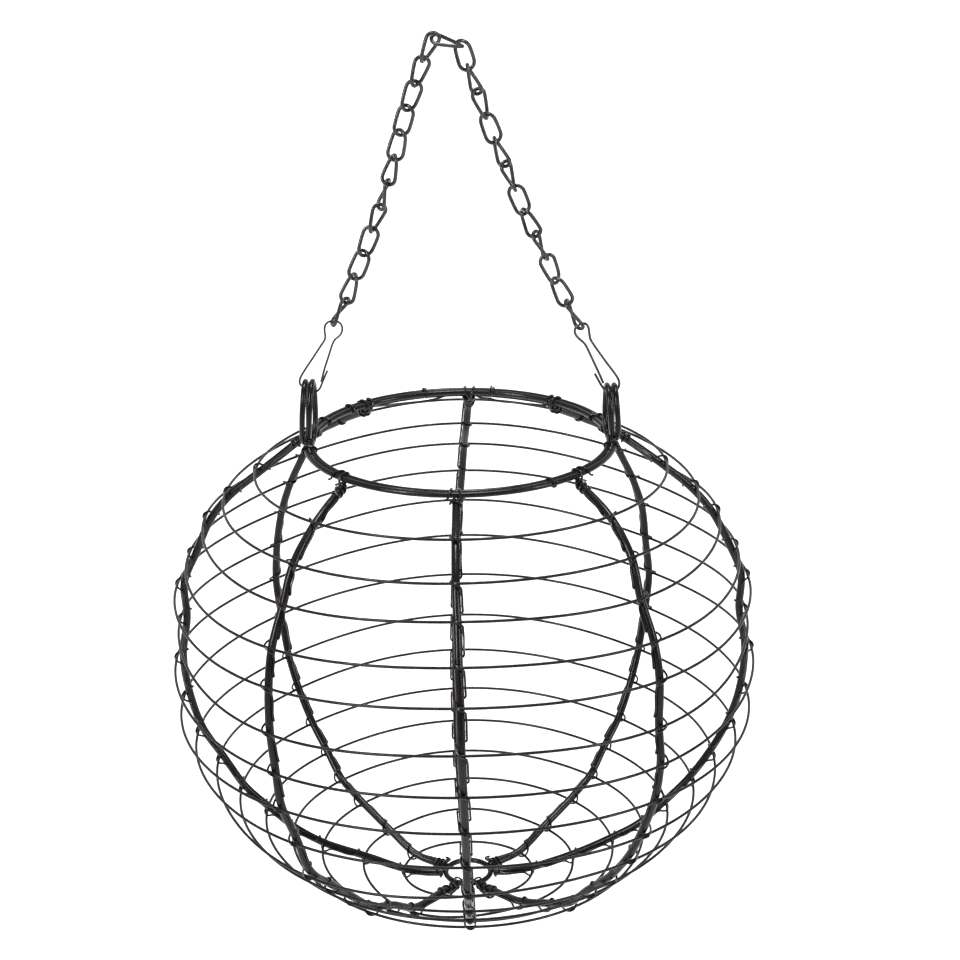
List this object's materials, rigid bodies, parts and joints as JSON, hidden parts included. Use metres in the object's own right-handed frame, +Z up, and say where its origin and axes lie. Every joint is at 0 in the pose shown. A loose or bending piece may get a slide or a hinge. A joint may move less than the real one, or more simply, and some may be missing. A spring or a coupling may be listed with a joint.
{
  "type": "hanging basket",
  "caption": "Round open wire hanging basket with stout ribs under thin wavy hoops, a double rim with eyes, snap hooks and a twisted-link chain.",
  "frame": {"origin": "inside the apex chain link, where the basket hangs", "axes": "+Z up along the height, +X from the left eye to the right eye, -Y the front"},
  "size_m": [0.3006, 0.304, 0.4567],
  "materials": {
    "chain_black": "satin dark grey",
    "hook_wire": "satin dark grey",
    "rim_rod": "satin near-black",
    "rib_rod": "satin near-black, slightly brown",
    "ring_wire": "satin near-black"
  },
  "bodies": {
    "apex_link": {"chain_link_apex": "chain_black"},
    "left_link_1": {"chain_link_left_1": "chain_black"},
    "right_link_1": {"chain_link_right_1": "chain_black"},
    "left_link_2": {"chain_link_left_2": "chain_black"},
    "right_link_2": {"chain_link_right_2": "chain_black"},
    "left_link_3": {"chain_link_left_3": "chain_black"},
    "right_link_3": {"chain_link_right_3": "chain_black"},
    "left_link_4": {"chain_link_left_4": "chain_black"},
    "right_link_4": {"chain_link_right_4": "chain_black"},
    "left_link_5": {"chain_link_left_5": "chain_black"},
    "right_link_5": {"chain_link_right_5": "chain_black"},
    "left_link_6": {"chain_link_left_6": "chain_black"},
    "right_link_6": {"chain_link_right_6": "chain_black"},
    "left_link_7": {"chain_link_left_7": "chain_black"},
    "right_link_7": {"chain_link_right_7": "chain_black"},
    "left_link_8": {"chain_link_left_8": "chain_black"},
    "right_link_8": {"chain_link_right_8": "chain_black"},
    "left_link_9": {"chain_link_left_9": "chain_black"},
    "right_link_9": {"chain_link_right_9": "chain_black"},
    "left_link_10": {"chain_link_left_10": "chain_black"},
    "right_link_10": {"chain_link_right_10": "chain_black"},
    "left_link_11": {"chain_link_left_11": "chain_black"},
    "right_link_11": {"chain_link_right_11": "chain_black"},
    "left_link_12": {"chain_link_left_12": "chain_black"},
    "right_link_12": {"chain_link_right_12": "chain_black"},
    "left_hook": {"left_snap_hook": "hook_wire"},
    "right_hook": {"right_snap_hook": "hook_wire"},
    "basket": {"rim_hoop": "rim_rod", "rim_companion_hoop": "rim_rod", "ring_wire_1": "ring_wire", "ring_wire_2": "ring_wire", "ring_wire_3": "ring_wire", "ring_wire_4": "ring_wire", "ring_wire_5": "ring_wire", "ring_wire_6": "ring_wire", "ring_wire_7": "ring_wire", "ring_wire_8": "ring_wire", "ring_wire_9": "ring_wire", "ring_wire_10": "ring_wire", "ring_wire_11": "ring_wire", "ring_wire_12": "ring_wire", "ring_wire_13": "ring_wire", "ring_wire_14": "ring_wire", "ring_wire_15": "ring_wire", "ring_wire_16": "ring_wire", "rib_right": "rib_rod", "rib_back_right": "rib_rod", "rib_back": "rib_rod", "rib_back_left": "rib_rod", "rib_left": "rib_rod", "rib_front_left": "rib_rod", "rib_front": "rib_rod", "rib_front_right": "rib_rod", "hub_ring": "rib_rod"}
  },
  "joints": [
    {"name": "left_link_1_hinge", "type": "hinge", "parent": "apex_link", "child": "left_link_1", "pos_m": [-0.00623, 0, -0.00016], "axis": [0.9574, 0, -0.2887], "range_deg": [-10, 10]},
    {"name": "right_link_1_hinge", "type": "hinge", "parent": "apex_link", "child": "right_link_1", "pos_m": [0.00624, 0, -0.00392], "axis": [0.9574, 0, -0.2887], "range_deg": [-10, 10]},
    {"name": "left_link_2_hinge", "type": "hinge", "parent": "left_link_1", "child": "left_link_2", "pos_m": [-0.01161, 0, -0.01132], "axis": [0.982, 0, -0.1888], "range_deg": [-10, 10]},
    {"name": "right_link_2_hinge", "type": "hinge", "parent": "right_link_1", "child": "right_link_2", "pos_m": [0.0094, 0, -0.01536], "axis": [0.982, 0, -0.1888], "range_deg": [-10, 10]},
    {"name": "left_link_3_hinge", "type": "hinge", "parent": "left_link_2", "child": "left_link_3", "pos_m": [-0.01562, 0, -0.02279], "axis": [0.9899, 0, -0.1416], "range_deg": [-10, 10]},
    {"name": "right_link_3_hinge", "type": "hinge", "parent": "right_link_2", "child": "right_link_3", "pos_m": [0.01354, 0, -0.02696], "axis": [0.9899, 0, -0.1416], "range_deg": [-10, 10]},
    {"name": "left_link_4_hinge", "type": "hinge", "parent": "left_link_3", "child": "left_link_4", "pos_m": [-0.01972, 0, -0.03443], "axis": [0.9936, 0, -0.1129], "range_deg": [-10, 10]},
    {"name": "right_link_4_hinge", "type": "hinge", "parent": "right_link_3", "child": "right_link_4", "pos_m": [0.01751, 0, -0.03866], "axis": [0.9936, 0, -0.1129], "range_deg": [-10, 10]},
    {"name": "left_link_5_hinge", "type": "hinge", "parent": "left_link_4", "child": "left_link_5", "pos_m": [-0.02329, 0, -0.04619], "axis": [0.9957, 0, -0.0931], "range_deg": [-10, 10]},
    {"name": "right_link_5_hinge", "type": "hinge", "parent": "right_link_4", "child": "right_link_5", "pos_m": [0.02175, 0, -0.0504], "axis": [0.9957, 0, -0.0931], "range_deg": [-10, 10]},
    {"name": "left_link_6_hinge", "type": "hinge", "parent": "left_link_5", "child": "left_link_6", "pos_m": [-0.02647, 0, -0.0583], "axis": [0.9973, 0, -0.0733], "range_deg": [-10, 10]},
    {"name": "right_link_6_hinge", "type": "hinge", "parent": "right_link_5", "child": "right_link_6", "pos_m": [0.02634, 0, -0.06218], "axis": [0.9973, 0, -0.0733], "range_deg": [-10, 10]},
    {"name": "left_link_7_hinge", "type": "hinge", "parent": "left_link_6", "child": "left_link_7", "pos_m": [-0.03008, 0, -0.07015], "axis": [0.998, 0, -0.0631], "range_deg": [-10, 10]},
    {"name": "right_link_7_hinge", "type": "hinge", "parent": "right_link_6", "child": "right_link_7", "pos_m": [0.03078, 0, -0.074], "axis": [0.998, 0, -0.0631], "range_deg": [-10, 10]},
    {"name": "left_link_8_hinge", "type": "hinge", "parent": "left_link_7", "child": "left_link_8", "pos_m": [-0.03382, 0, -0.08226], "axis": [0.9989, 0, -0.0476], "range_deg": [-10, 10]},
    {"name": "right_link_8_hinge", "type": "hinge", "parent": "right_link_7", "child": "right_link_8", "pos_m": [0.0355, 0, -0.08556], "axis": [0.9989, 0, -0.0476], "range_deg": [-10, 10]},
    {"name": "left_link_9_hinge", "type": "hinge", "parent": "left_link_8", "child": "left_link_9", "pos_m": [-0.03815, 0, -0.09359], "axis": [0.999, 0, -0.0438], "range_deg": [-10, 10]},
    {"name": "right_link_9_hinge", "type": "hinge", "parent": "right_link_8", "child": "right_link_9", "pos_m": [0.04068, 0, -0.09705], "axis": [0.999, 0, -0.0438], "range_deg": [-10, 10]},
    {"name": "left_link_10_hinge", "type": "hinge", "parent": "left_link_9", "child": "left_link_10", "pos_m": [-0.04244, 0, -0.10543], "axis": [0.9993, 0, -0.0374], "range_deg": [-10, 10]},
    {"name": "right_link_10_hinge", "type": "hinge", "parent": "right_link_9", "child": "right_link_10", "pos_m": [0.04565, 0, -0.10873], "axis": [0.9993, 0, -0.0374], "range_deg": [-10, 10]},
    {"name": "left_link_11_hinge", "type": "hinge", "parent": "left_link_10", "child": "left_link_11", "pos_m": [-0.04746, 0, -0.11707], "axis": [0.9994, 0, -0.0333], "range_deg": [-10, 10]},
    {"name": "right_link_11_hinge", "type": "hinge", "parent": "right_link_10", "child": "right_link_11", "pos_m": [0.05056, 0, -0.12034], "axis": [0.9994, 0, -0.0333], "range_deg": [-10, 10]},
    {"name": "left_link_12_hinge", "type": "hinge", "parent": "left_link_11", "child": "left_link_12", "pos_m": [-0.05211, 0, -0.12904], "axis": [0.9996, 0, -0.0274], "range_deg": [-10, 10]},
    {"name": "right_link_12_hinge", "type": "hinge", "parent": "right_link_11", "child": "right_link_12", "pos_m": [0.056, 0, -0.132], "axis": [0.9996, 0, -0.0274], "range_deg": [-10, 10]},
    {"name": "left_hook_hinge", "type": "hinge", "parent": "left_link_12", "child": "left_hook", "pos_m": [-0.0586, 0, -0.14045], "axis": [0.9995, 0, -0.0318], "range_deg": [-20, 20]},
    {"name": "right_hook_hinge", "type": "hinge", "parent": "right_link_12", "child": "right_hook", "pos_m": [0.06235, 0, -0.1443], "axis": [0.9995, 0, -0.0318], "range_deg": [-20, 20]},
    {"name": "basket_pitch", "type": "hinge", "parent": "left_hook", "child": "basket", "pos_m": [-0.0731, 0, -0.1732], "axis": [0.9997, 0, -0.0251], "range_deg": [-30, 30]}
  ],
  "couplings": [
    {"joint": "right_link_1_hinge", "follows": "left_link_1_hinge", "ratio": 1},
    {"joint": "right_link_2_hinge", "follows": "left_link_2_hinge", "ratio": 1},
    {"joint": "right_link_3_hinge", "follows": "left_link_3_hinge", "ratio": 1},
    {"joint": "right_link_4_hinge", "follows": "left_link_4_hinge", "ratio": 1},
    {"joint": "right_link_5_hinge", "follows": "left_link_5_hinge", "ratio": 1},
    {"joint": "right_link_6_hinge", "follows": "left_link_6_hinge", "ratio": 1},
    {"joint": "right_link_7_hinge", "follows": "left_link_7_hinge", "ratio": 1},
    {"joint": "right_link_8_hinge", "follows": "left_link_8_hinge", "ratio": 1},
    {"joint": "right_link_9_hinge", "follows": "left_link_9_hinge", "ratio": 1},
    {"joint": "right_link_10_hinge", "follows": "left_link_10_hinge", "ratio": 1},
    {"joint": "right_link_11_hinge", "follows": "left_link_11_hinge", "ratio": 1},
    {"joint": "right_link_12_hinge", "follows": "left_link_12_hinge", "ratio": 1},
    {"joint": "right_hook_hinge", "follows": "left_hook_hinge", "ratio": 1}
  ]
}
